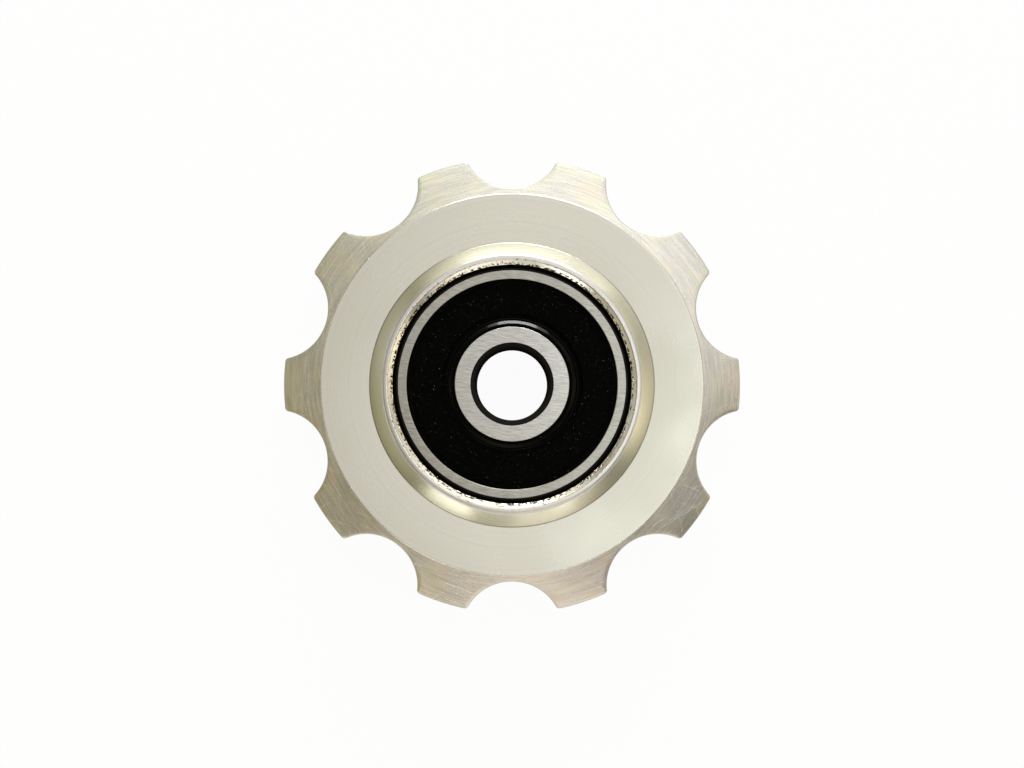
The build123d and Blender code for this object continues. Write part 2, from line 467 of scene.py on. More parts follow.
FINISHES = {
    Surface.DISC: Finish(
        "disc_turned",
        (0.68, 0.687, 0.57),
        0.25,
        stretch=0.6,
        marks=Marks(0.24 * MM, 0.0, 0.05, 0.0),
        grain=0.03,
    ),
    Surface.DISC_RIM: Finish(
        "disc_rim_turned",
        (0.78, 0.765, 0.69),
        0.24,
        marks=Marks(0.05 * MM, 0.001 * MM, 0.06, 0.0),
        flecks=(Flecks(0.14 * MM, (1.0, 0.99, 0.97), 0.30, 0.006 * MM, 1.5),),
        grain=0.08,
    ),
    # Darker than the flank and the disc: painted shade in the crease at the flank's foot
    Surface.FOOT: Finish("flank_foot_painted_shade", (0.42, 0.40, 0.34), 0.35),
    Surface.TOOTH_FACE: Finish(
        "tooth_faces_turned",
        (0.89, 0.88, 0.775),
        0.27,
        stretch=0.4,
        marks=Marks(0.13 * MM, 0.006 * MM, 0.20, 20.0),
        scratch=0.003 * MM,
        tints=((1.0, 0.935, 0.89), (0.965, 0.975, 0.87)),
        tint_size=1.3 * MM,
        grain=0.16,
    ),
    Surface.MILLED: Finish(
        "gullets_milled", (0.66, 0.645, 0.59), 0.30, stretch=0.3, marks=Marks(0.12 * MM, 0.003 * MM, 0.08)
    ),
    Surface.FLANK: Finish(
        "hub_flank_turned",
        (0.965, 0.93, 0.90),
        0.15,
        stretch=0.5,
        marks=Marks(0.06 * MM, 0.0006 * MM, 0.06, 0.0),
    ),
    Surface.HUB_FACE: Finish(
        "hub_face_turned",
        (0.68, 0.685, 0.63),
        0.24,
        stretch=0.4,
        marks=Marks(0.07 * MM, 0.0008 * MM, 0.06, 0.0),
        tints=((1.0, 0.92, 0.88), WHITE),
        tint_size=0.8 * MM,
    ),
    Surface.MOUTH: Finish(
        "seat_mouth_turned",
        (0.74, 0.735, 0.675),
        0.20,
        stretch=0.3,
        marks=Marks(0.05 * MM, 0.002 * MM, 0.08, 12.0),
        flecks=(Flecks(0.16 * MM, (0.22, 0.18, 0.15), 0.42, -0.010 * MM, 1.6),),
        tints=((1.0, 0.93, 0.89), (1.0, 0.98, 0.94)),
        tint_size=0.6 * MM,
        grain=0.12,
    ),
    Surface.MOUTH_EDGE: Finish(
        "seat_mouth_worn_with_painted_shade",
        (0.80, 0.77, 0.70),
        0.22,
        flecks=(
            # The near-black pits are painted shade in the pits and in the gap beside the bearing; the bright
            # burrs and the tints are the worn edge's own colour
            Flecks(0.22 * MM, (0.03, 0.025, 0.02), 0.78, -0.013 * MM, 1.2),
            Flecks(0.12 * MM, (1.0, 0.98, 0.94), 0.35, 0.012 * MM, 1.3),
        ),
        tints=((1.0, 0.86, 0.78), (1.0, 0.98, 0.90)),
        tint_size=0.5 * MM,
        grain=0.15,
    ),
    # The seat's walls are painted near black: painted shade in the gap round the bearing
    Surface.SEAT: Finish("seat_painted_shade", PAINTED_SHADE_BLACK, 0.8, metallic=0.0, specular=0.0),
    Surface.OUTER_RING_FACE: Finish(
        "outer_ring_face_ground", (0.52, 0.522, 0.45), 0.28, stretch=0.5, marks=GROUND, grain=0.14
    ),
    Surface.INNER_RING_FACE: Finish(
        "inner_ring_face_ground", (0.645, 0.652, 0.585), 0.28, stretch=0.5, marks=GROUND, grain=0.14
    ),
    # The rings' walls beside the seals and the outer ring's outside are painted near black: painted shade in
    # those recesses
    Surface.RING_CORNER: Finish("ring_corner_painted_shade", PAINTED_SHADE_BLACK, 0.8, metallic=0.0, specular=0.03),
    # The bore is painted near black: painted shade inside the hole
    Surface.BORE: Finish("bore_painted_shade", PAINTED_SHADE_BLACK, 0.8, metallic=0.0, specular=0.0),
    Surface.RACEWAY: Finish("raceway_polished", (0.72, 0.72, 0.70), 0.10),
    Surface.RUBBER: Finish(
        "seal_rubber_black",
        RUBBER_BLACK,
        0.32,
        metallic=0.0,
        specular=0.008,
        flecks=(
            Flecks(0.30 * MM, (0.0035, 0.0035, 0.003), 0.5, 0.004 * MM),
            Flecks(0.09 * MM, (0.22, 0.21, 0.19), 0.10, 0.0, 2.5),
        ),
    ),
    Surface.LIP: Finish(
        "seal_lip_glossy",
        RUBBER_BLACK,
        0.12,
        metallic=0.0,
        specular=0.11,
        flecks=(Flecks(0.15 * MM, (0.02, 0.02, 0.018), 0.2, 0.003 * MM),),
    ),
    Surface.BALL: Finish("ball_polished", (0.78, 0.78, 0.78), 0.05),
    Surface.SHEET_STEEL: Finish(
        "cage_sheet_steel", (0.55, 0.54, 0.51), 0.32, flecks=(Flecks(0.3 * MM, (0.3, 0.29, 0.27), 0.3),)
    ),
}


@cache
def material_of(surface: Surface) -> bpy.types.Material:
    """The material of a surface, made when a piece first asks for it."""
    return FINISHES[surface].material()


@dataclass(frozen=True)
class Corner:
    """A corner of a turned section.

    Args:
        r: its distance from the axle.
        z: its height.
        surface: the surface from this corner to the next.
        rounding: the radius that the corner is rounded to.
        arc: the surface of the rounding, where it has one of its own.
    """

    r: float
    z: float
    surface: Surface
    rounding: float = 0.0
    arc: Optional[Surface] = None


Stop = tuple[float, float, Surface]


def rotated(way: Vector, angle: float) -> Vector:
    """A vector in the plane, turned by an angle."""
    c, s = math.cos(angle), math.sin(angle)
    return Vector((way.x * c - way.y * s, way.x * s + way.y * c))


def mirrored(corners: Sequence[Corner], first: Surface) -> list[Corner]:
    """The rear's corners, in the order that goes on from the front's.

    Args:
        corners: the front's corners.
        first: the surface that leads to the first of them.

    Returns:
        The corners upside down and in reverse, so that each run keeps its surface.
    """
    before = [first, *(corner.surface for corner in corners)]
    turned = [replace(corner, z=-corner.z, surface=surface) for corner, surface in zip(corners, before)]
    return turned[::-1]


@dataclass
class Section:
    """A turned piece's section, as corners in order.

    Args:
        corners: the corners.
        closed: whether the last corner joins the first.
        steps: how many straight steps a rounded corner gets.
        hold: how near a run's ends its extra points lie.
        shortest: the shortest run that gets extra points.
    """

    corners: list[Corner]
    closed: bool = True
    steps: int = 5
    hold: float = 0.025 * MM
    shortest: float = 0.3 * MM

    def points(self) -> list[Stop]:
        """The section's points.

        Returns:
            Tuples of distance from the axle, height and the surface that starts there.
        """
        result: list[Stop] = []
        last = len(self.corners) - 1
        for index, corner in enumerate(self.corners):
            if corner.rounding and (self.closed or 0 < index < last):
                after = self.corners[(index + 1) % len(self.corners)]
                result += self.rounded(self.corners[index - 1], corner, after)
            else:
                result.append((corner.r, corner.z, corner.surface))
        return self.supported(result)

    def supported(self, points: list[Stop]) -> list[Stop]:
        """Adds a point near each end of the long runs, so that a rounding's shading stays on the rounding.

        Args:
            points: the section's points.

        Returns:
            The points with the new ones between them.
        """
        result: list[Stop] = []
        ends = points[1:] + points[:1] if self.closed else points[1:]
        for (r0, z0, surface), (r1, z1, _) in zip(points, ends):
            result.append((r0, z0, surface))
            length = math.hypot(r1 - r0, z1 - z0)
            if length > self.shortest:
                for share in (self.hold / length, 1.0 - self.hold / length):
                    result.append((r0 + (r1 - r0) * share, z0 + (z1 - z0) * share, surface))
        return result if self.closed else [*result, points[-1]]

    def rounded(self, before: Corner, corner: Corner, after: Corner) -> list[Stop]:
        """The points of one rounded corner.

        Args:
            before: the corner before it.
            corner: the corner to round.
            after: the corner after it.

        Returns:
            The arc's points.
        """
        here = Vector((corner.r, corner.z))
        ways = [(Vector((other.r, other.z)) - here).normalized() for other in (before, after)]
        half = ways[0].angle(ways[1]) / 2
        centre = here + (ways[0] + ways[1]).normalized() * corner.rounding / math.sin(half)
        start, end = (here + way * corner.rounding / math.tan(half) - centre for way in ways)
        sweep = start.angle_signed(end)
        spots = [centre + rotated(start, -sweep * step / self.steps) for step in range(self.steps + 1)]
        arc = [(spot.x, spot.y, corner.arc or corner.surface) for spot in spots[:-1]]
        return [*arc, (spots[-1].x, spots[-1].y, corner.surface)]


class Mesher:
    """Collects points and faces, each face with its surface and its place on the marks map."""

    def __init__(self, name: str, surfaces: Sequence[Surface]) -> None:
        """Starts an empty mesh.

        Args:
            name: the mesh's name.
            surfaces: the surfaces it has, in the order of its material slots.
        """
        self.name = name
        self.surfaces = list(surfaces)
        self.verts: list[Place] = []
        self.faces: list[tuple[int, ...]] = []
        self.face_surfaces: list[Surface] = []
        self.maps: list[tuple[Point, ...]] = []

    def grid(
        self,
        rows: Sequence[Sequence[Place]],
        surfaces: Sequence[Surface],
        place: Callable[[int, int], Point],
        wrap_rows: bool = False,
        wrap_columns: bool = False,
    ) -> None:
        """Adds a grid of four-sided faces.

        Args:
            rows: the points, one list for each angle or step.
            surfaces: the surface between point j and point j + 1 of every row.
            place: gives the marks map's place for row i and point j.
            wrap_rows: whether the last row joins the first.
            wrap_columns: whether each row's last point joins its first.
        """
        start, height, width = len(self.verts), len(rows), len(rows[0])
        for row in rows:
            self.verts += row
        for i in range(height if wrap_rows else height - 1):
            for j in range(width if wrap_columns else width - 1):
                corners = ((i, j), (i + 1, j), (i + 1, j + 1), (i, j + 1))
                self.faces.append(tuple(start + (a % height) * width + b % width for a, b in corners))
                self.maps.append(tuple(place(a, b) for a, b in corners))
                self.face_surfaces.append(surfaces[j])

    def mesh(self) -> bpy.types.Mesh:
        """Makes the Blender mesh.

        Returns:
            The mesh, with its marks map and its surfaces as material indices.
        """
        made = bpy.data.meshes.new(self.name)
        made.from_pydata(self.verts, [], self.faces)
        layer = made.uv_layers.new(name="marks")
        for polygon, places in zip(made.polygons, self.maps):
            for loop, spot in zip(polygon.loop_indices, places):
                layer.data[loop].uv = spot
        made.polygons.foreach_set("material_index", [self.surfaces.index(s) for s in self.face_surfaces])
        return made


def runs_straight(surface: Surface) -> bool:
    """Whether a surface's marks are straight lines."""
    marks = FINISHES[surface].marks
    return bool(marks and marks.straight)


def spin(mesher: Mesher, section: Section, angles: Sequence[float]) -> None:
    """Turns a section round the axle.

    Args:
        mesher: the mesh it is added to.
        section: the section.
        angles: the angles of the columns, in rising order over one turn.
    """
    points = section.points()
    surfaces = [surface for _, _, surface in points]
    lengths = [0.0]
    for (r0, z0, _), (r1, z1, _) in zip(points, points[1:] + points[:1]):
        lengths.append(lengths[-1] + math.hypot(r1 - r0, z1 - z0))
    rows = [[(r * math.cos(a), r * math.sin(a), z) for r, z, _ in points] for a in angles]
    turns = [*angles, angles[0] + 2 * math.pi]

    def place(i: int, j: int) -> Point:
        """The marks map's place of column i and point j."""
        return turns[i] * MARKS_RADIUS, lengths[j]

    mesher.grid(rows, surfaces, place, wrap_rows=True, wrap_columns=section.closed)
    for index, face in enumerate(mesher.faces):
        if runs_straight(mesher.face_surfaces[index]):
            mesher.maps[index] = tuple(mesher.verts[v][:2] for v in face)


def placed(name: str, data: Optional[bpy.types.ID]) -> bpy.types.Object:
    """A new object with the given data, linked to the scene."""
    made = bpy.data.objects.new(name, data)
    bpy.context.scene.collection.objects.link(made)
    return made


def finished(mesh: bpy.types.Mesh, surfaces: Iterable[Surface]) -> bpy.types.Object:
    """Closes, smooths and dresses a mesh.

    Args:
        mesh: the mesh, in the frame's place.
        surfaces: the surfaces in the order of the material slots.

    Returns:
        The new object, linked to the scene.
    """
    shell = bmesh.new()
    shell.from_mesh(mesh)
    bmesh.ops.remove_doubles(shell, verts=shell.verts, dist=JOIN_DISTANCE)
    bmesh.ops.recalc_face_normals(shell, faces=shell.faces)
    shell.to_mesh(mesh)
    shell.free()
    for surface in surfaces:
        mesh.materials.append(material_of(surface))
    mesh.polygons.foreach_set("use_smooth", [True] * len(mesh.polygons))
    mesh.set_sharp_from_angle(angle=SHARP_ANGLE)
    mesh.update()
    return placed(mesh.name, mesh)


@dataclass
class Teeth:
    """The teeth and the gullets between them, as one sector that Geometry Nodes repeat round the axle.

    Args:
        tip_radius: the radius of the tips.
        inner_radius: where the teeth meet the disc.
        count: the number of teeth.
        chain_pitch: the chain's pitch.
        gullet_radius: the radius of a gullet.
        root_half: half of the thickness at the disc.
        tip_half: half of the thickness at the tip.
        corner_radius: the rounding of the tip corners.
        edge_round: the rounding of the edges.
        gullet_steps: the number of faces along half a gullet.
        corner_steps: the number of faces along a tip corner.
        tip_steps: the number of faces along half a tip.
        face_steps: the number of faces across a tooth's face.
        round_steps: the number of faces across a rounded edge.
    """

    tip_radius: float
    inner_radius: float
    count: int = 10
    chain_pitch: float = 12.7 * MM
    gullet_radius: float = 4.2 * MM
    root_half: float = 1.05 * MM
    tip_half: float = 0.65 * MM
    corner_radius: float = 0.35 * MM
    edge_round: float = 0.09 * MM
    gullet_steps: int = 14
    corner_steps: int = 5
    tip_steps: int = 4
    face_steps: int = 4
    round_steps: int = 3

    @property
    def half_sector(self) -> float:
        """Half of the angle from one gullet to the next."""
        return math.pi / self.count

    def half_outline(self) -> list[tuple[Vector, Vector]]:
        """The outline from the middle of a gullet to the middle of the next tooth tip.

        Returns:
            Points with their outward normals.
        """
        pitch_radius = self.chain_pitch / 2 / math.sin(self.half_sector)
        gullet = Vector((math.cos(self.half_sector), -math.sin(self.half_sector))) * pitch_radius
        reach = self.tip_radius - self.corner_radius
        span = self.gullet_radius + self.corner_radius
        cosine = (pitch_radius**2 + reach**2 - span**2) / (2 * pitch_radius * reach)
        lean = math.acos(cosine) - self.half_sector
        corner = Vector((math.cos(lean), math.sin(lean))) * reach
        top = (corner - gullet).normalized()
        outline = self.arc(gullet, self.gullet_radius, (-gullet).normalized(), top, self.gullet_steps, -1.0)
        outline += self.arc(corner, self.corner_radius, -top, corner.normalized(), self.corner_steps, 1.0)[1:]
        axle, middle = Vector((0.0, 0.0)), Vector((1.0, 0.0))
        outline += self.arc(axle, self.tip_radius, corner.normalized(), middle, self.tip_steps, 1.0)[1:]
        return outline

    @staticmethod
    def arc(
        centre: Vector, radius: float, start: Vector, end: Vector, steps: int, side: float
    ) -> list[tuple[Vector, Vector]]:
        """Points along an arc.

        Args:
            centre: its centre.
            radius: its radius.
            start: the direction of its first point.
            end: the direction of its last point.
            steps: the number of steps.
            side: 1 where the metal is inside the circle and -1 where it is outside.

        Returns:
            Points with their outward normals.
        """
        sweep = -start.angle_signed(end)
        ways = [rotated(start, sweep * step / steps) for step in range(steps + 1)]
        return [(centre + way * radius, way * side) for way in ways]

    def outline(self) -> list[tuple[Vector, Vector]]:
        """One sector's outline, from the middle of a gullet to the middle of the next one."""
        half = self.half_outline()
        return half + [(Vector((p.x, -p.y)), Vector((n.x, -n.y))) for p, n in reversed(half[:-1])]

    def angles(self) -> list[float]:
        """The angles of all the columns round the wheel, in rising order."""
        sector = [math.atan2(p.y, p.x) for p, _ in self.outline()[:-1]]
        return [a + 2 * self.half_sector * tooth for tooth in range(self.count) for a in sector]

    def face_height(self, radius: float) -> float:
        """Half of the tooth's thickness at a distance from the axle."""
        share = (radius - self.inner_radius) / (self.tip_radius - self.inner_radius)
        return self.root_half + (self.tip_half - self.root_half) * share

    def column(self, point: Vector, normal: Vector) -> list[Place]:
        """The points over one point of the outline, from the disc's front to its rear.

        Args:
            point: the point of the outline.
            normal: its outward normal.

        Returns:
            The points.
        """
        angle = math.atan2(point.y, point.x)
        inner = Vector((math.cos(angle), math.sin(angle))) * self.inner_radius
        edge = point - normal * self.edge_round
        front = []
        for step in range(self.face_steps + 1):
            spot = inner.lerp(edge, step / self.face_steps)
            front.append((spot.x, spot.y, self.face_height(spot.length)))
        height = front[-1][2]
        for step in range(1, self.round_steps + 1):
            turn = math.pi / 2 * step / self.round_steps
            spot = edge + normal * self.edge_round * math.sin(turn)
            front.append((spot.x, spot.y, height - self.edge_round * (1 - math.cos(turn))))
        return front + [(x, y, -z) for x, y, z in reversed(front)]

    def sector(self) -> bpy.types.Mesh:
        """One sector's faces, edges and wall.

        Returns:
            The mesh, open where it meets the disc and the next sector, with a mark on its wall faces.
        """
        outline = self.outline()
        rows = [self.column(point, normal) for point, normal in outline]
        lengths = [0.0]
        for (before, _), (point, _) in zip(outline, outline[1:]):
            lengths.append(lengths[-1] + (point - before).length)
        width = len(rows[0])
        surfaces = [Surface.TOOTH_FACE] * (width - 1)
        for j in range(self.face_steps, width - 1 - self.face_steps):
            surfaces[j] = Surface.MILLED

        def place(i: int, j: int) -> Point:
            """The marks map's place of column i and point j."""
            x, y, z = rows[i][j]
            if self.face_steps <= j < width - self.face_steps:
                return lengths[i], -z
            side = 1.0 if j < width // 2 else -1.0
            return math.atan2(y, x) * MARKS_RADIUS, side * math.hypot(x, y)

        mesher = Mesher("tooth_sector", [Surface.TOOTH_FACE, Surface.MILLED])
        mesher.grid(rows, surfaces, place)
        mesh = mesher.mesh()
        walls = [surface is Surface.MILLED for surface in mesher.face_surfaces]
        mesh.attributes.new("milled", "BOOLEAN", "FACE").data.foreach_set("value", walls)
        return mesh

    @staticmethod
    def tree() -> bpy.types.GeometryNodeTree:
        """Geometry Nodes that turn copies of one sector round the axle and join them.

        Returns:
            The node group.
        """
        group = bpy.data.node_groups.new("teeth_round_the_axle", "GeometryNodeTree")
        sockets = (("Geometry", "Geometry"), ("Teeth", "Int"), ("Join distance", "Float"),
                   ("Tooth faces", "Material"), ("Gullets", "Material"))
        for name, kind in sockets:
            group.interface.new_socket(name, in_out="INPUT", socket_type="NodeSocket" + kind)
        group.interface.new_socket("Geometry", in_out="OUTPUT", socket_type="NodeSocketGeometry")
        sketch = Sketch(group)
        sector, teeth, distance, faces, gullets, _ = sketch.add("NodeGroupInput").outputs
        points = sketch.add("GeometryNodeMeshLine", None, Count=teeth, Offset=(0.0, 0.0, 0.0))
        number = sketch.add("GeometryNodeInputIndex").outputs[0]
        turn = sketch.math("MULTIPLY", number, sketch.math("DIVIDE", 2 * math.pi, teeth))
        rotation = sketch.add("FunctionNodeEulerToRotation", None, Euler=sketch.vector(z=turn))
        copies = sketch.add("GeometryNodeInstanceOnPoints", None, Points=points.outputs[0], Instance=sector)
        sketch.put(copies.inputs["Rotation"], rotation.outputs[0])
        real = sketch.add("GeometryNodeRealizeInstances", None, Geometry=copies.outputs[0])
        join = sketch.add("GeometryNodeMergeByDistance", None, Geometry=real.outputs[0], Distance=distance)
        dressed = sketch.add("GeometryNodeSetMaterial", None, Geometry=join.outputs[0], Material=faces)
        milled = sketch.add("GeometryNodeInputNamedAttribute", {"data_type": "BOOLEAN"}, Name="milled")
        walls = sketch.add("GeometryNodeSetMaterial", None, Geometry=dressed.outputs[0], Material=gullets)
        sketch.put(walls.inputs["Selection"], milled.outputs["Attribute"])
        sketch.end("NodeGroupOutput", walls)
        return group

    def build(self, surfaces: Sequence[Surface]) -> bpy.types.Mesh:
        """The ring of teeth as a plain mesh.

        Args:
            surfaces: the wheel's surfaces in the order of its material slots.

        Returns:
            The mesh, with the wheel's material indices.
        """
        holder = placed("tooth_sector", self.sector())
        modifier = holder.modifiers.new("teeth", "NODES")
        modifier.node_group = self.tree()
        values = {
            "Teeth": self.count,
            "Join distance": JOIN_DISTANCE,
            "Tooth faces": material_of(Surface.TOOTH_FACE),
            "Gullets": material_of(Surface.MILLED),
        }
        for item in modifier.node_group.interface.items_tree:
            if item.in_out == "INPUT" and item.name in values:
                modifier[item.identifier] = values[item.name]
        holder.update_tag()
        graph = bpy.context.evaluated_depsgraph_get()
        made = bpy.data.meshes.new_from_object(holder.evaluated_get(graph), depsgraph=graph)
        slots = {material_of(surface).name: index for index, surface in enumerate(surfaces)}
        wanted = [slots[made.materials[p.material_index].name] for p in made.polygons]
        made.polygons.foreach_set("material_index", wanted)
        holder.modifiers.remove(modifier)
        bpy.data.objects.remove(holder)
        return made


@dataclass
class ToothedWheel:
    """The wheel itself: hub, disc and teeth in one piece.

    Args:
        tip_radius: the radius of the tooth tips.
        hub_half: half of the hub's width.
        seat_radius: the radius of the bearing seat.
        ring_half: half of the bearing's width.
        disc_radius: the radius of the disc.
        disc_edge_half: half of the disc's thickness at its edge.
        disc_foot_half: half of the disc's thickness at the hub.
        relief: how much wider than the seat its mouth is.
        relief_depth: how far below the bearing's face the mouth reaches.
        mouth_chamfer: the width of the chamfer at the mouth.
        mouth_fall: the height of that chamfer.
        mouth_round: the rounding where the chamfer meets the hub's face.
        wear: how far the worn edge of the mouth reaches to both sides.
        wear_round: the rounding of that edge.
        burr: how far that edge strays.
        land: the width of the hub's flat face.
        flank_run: how far the hub's flank spreads.
        crest_round: the rounding between the face and the flank.
        foot_round: the rounding at the flank's foot.
        rim_round: the rounding at the disc's rim.
        rim_width: the width of the rim's surface, as a multiple of that rounding.
        flank_bulge: how far the flank's middle stands out of its straight line.
        flank_steps: how many straight steps the flank has.
        stop: how far the stop behind the bearing reaches in.
        stop_round: the rounding of the stop's edge.
        surfaces: the surfaces in the order of the material slots.
    """

    tip_radius: float
    hub_half: float
    seat_radius: float
    ring_half: float
    disc_radius: float = 15.929 * MM
    disc_edge_half: float = 1.35 * MM
    disc_foot_half: float = 1.1 * MM
    relief: float = 0.25 * MM
    relief_depth: float = 1.0 * MM
    mouth_chamfer: float = 0.4 * MM
    mouth_fall: float = 0.26 * MM
    mouth_round: float = 0.3 * MM
    wear: float = 0.16 * MM
    wear_round: float = 0.04 * MM
    burr: float = 0.027 * MM
    land: float = 0.38 * MM
    flank_run: float = 1.28 * MM
    crest_round: float = 0.2 * MM
    foot_round: float = 0.1 * MM
    rim_round: float = 0.1 * MM
    rim_width: float = 1.5
    flank_bulge: float = 0.06 * MM
    flank_steps: int = 9
    stop: float = 0.6 * MM
    stop_round: float = 0.06 * MM
    surfaces: tuple[Surface, ...] = (
        Surface.DISC,
        Surface.DISC_RIM,
        Surface.FOOT,
        Surface.TOOTH_FACE,
        Surface.MILLED,
        Surface.FLANK,
        Surface.HUB_FACE,
        Surface.MOUTH,
        Surface.MOUTH_EDGE,
        Surface.SEAT,
    )

    @property
    def mouth(self) -> float:
        """The radius of the seat's mouth."""
        return self.seat_radius + self.relief

    @property
    def foot_radius(self) -> float:
        """Where the hub's flank meets the disc."""
        return self.mouth + self.mouth_chamfer + self.land + self.flank_run

    def disc_half(self, radius: float) -> float:
        """Half of the disc's thickness at a distance from the axle."""
        share = (radius - self.foot_radius) / (self.disc_radius - self.foot_radius)
        return self.disc_foot_half + (self.disc_edge_half - self.disc_foot_half) * share

    def bulged(self, start: Vector, end: Vector) -> list[Corner]:
        """The points between the flank's ends, a little outside their straight line.

        Args:
            start: the flank's foot, as radius and height.
            end: the hub's crest.

        Returns:
            The corners from the foot to the crest.
        """
        run = end - start
        outward = Vector((run.y, -run.x)).normalized()
        result = []
        for step in range(1, self.flank_steps):
            share = step / self.flank_steps
            spot = start + run * share + outward * self.flank_bulge * 4 * share * (1 - share)
            result.append(Corner(spot.x, spot.y, Surface.FLANK))
        return result

    def section(self, teeth: Teeth) -> Section:
        """The wheel's section inside the teeth, from its front step round to its rear step.

        Args:
            teeth: the teeth that it joins.

        Returns:
            The open section.
        """
        inside = self.disc_radius - self.rim_width * self.rim_round
        crest = self.mouth + self.mouth_chamfer + self.land
        low = self.hub_half - self.mouth_fall
        worn = self.hub_half - self.mouth_fall * (1.0 - self.wear / self.mouth_chamfer)
        seat_top = self.ring_half - self.relief_depth
        stop = self.seat_radius - self.stop
        outside = [
            Corner(self.disc_radius, teeth.root_half, Surface.DISC_RIM),
            Corner(self.disc_radius, self.disc_edge_half, Surface.DISC_RIM, self.rim_round),
            Corner(inside, self.disc_half(inside), Surface.DISC),
            # The foot's rounding takes the darker foot finish, painted shade in the crease
            Corner(self.foot_radius, self.disc_foot_half, Surface.FLANK, self.foot_round, Surface.FOOT),
            *self.bulged(Vector((self.foot_radius, self.disc_foot_half)), Vector((crest, self.hub_half))),
            Corner(crest, self.hub_half, Surface.HUB_FACE, self.crest_round),
        ]
        bore = [
            Corner(self.mouth + self.mouth_chamfer, self.hub_half, Surface.MOUTH, self.mouth_round),
            Corner(self.mouth + self.wear, worn, Surface.MOUTH_EDGE),
            Corner(self.mouth, low, Surface.MOUTH_EDGE, self.wear_round),
            # From here the seat's walls take the near-black finish, painted shade round the bearing
            Corner(self.mouth, low - self.wear, Surface.SEAT),
            Corner(self.mouth, seat_top, Surface.SEAT),
            Corner(self.seat_radius, seat_top, Surface.SEAT),
            Corner(self.seat_radius, -self.ring_half, Surface.SEAT),
            Corner(stop, -self.ring_half, Surface.HUB_FACE),
            Corner(stop, -self.hub_half, Surface.HUB_FACE, self.stop_round),
        ]
        return Section(outside + bore + mirrored(outside, Surface.TOOTH_FACE), closed=False)

    def wear_mouth(self, mesher: Mesher) -> None:
        """Roughens the edge of the seat's mouth, as the pressed bearing leaves it.

        Args:
            mesher: the turned mesh, whose points are moved.
        """
        depth, coarse, fine, fine_share = 1.3, 2.7, 8.0, 0.7
        low = self.hub_half - self.mouth_chamfer * depth
        for index, (x, y, z) in enumerate(mesher.verts):
            r = math.hypot(x, y)
            inside = 1.0 - abs(r - self.mouth) / self.mouth_chamfer
            if z > low and inside > 0.0:
                place = Vector((x, y, z)) / MM
                stray = noise.noise(place * coarse) + fine_share * noise.noise(place * fine)
                scale = 1.0 + self.burr * inside * stray / r
                mesher.verts[index] = (x * scale, y * scale, z)

    def build(self) -> bpy.types.Object:
        """Makes the wheel in place of its CAD node.

        Returns:
            The wheel.
        """
        teeth = Teeth(tip_radius=self.tip_radius, inner_radius=self.disc_radius)
        mesher = Mesher("wheel_turned_and_milled", self.surfaces)
        spin(mesher, self.section(teeth), teeth.angles())
        self.wear_mouth(mesher)
        body = mesher.mesh()
        both = bmesh.new()
        both.from_mesh(body)
        both.from_mesh(teeth.build(self.surfaces))
        both.to_mesh(body)
        both.free()
        wheel = finished(body, self.surfaces)
        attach(wheel, "wheel")
        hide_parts("toothed_wheel")
        return wheel


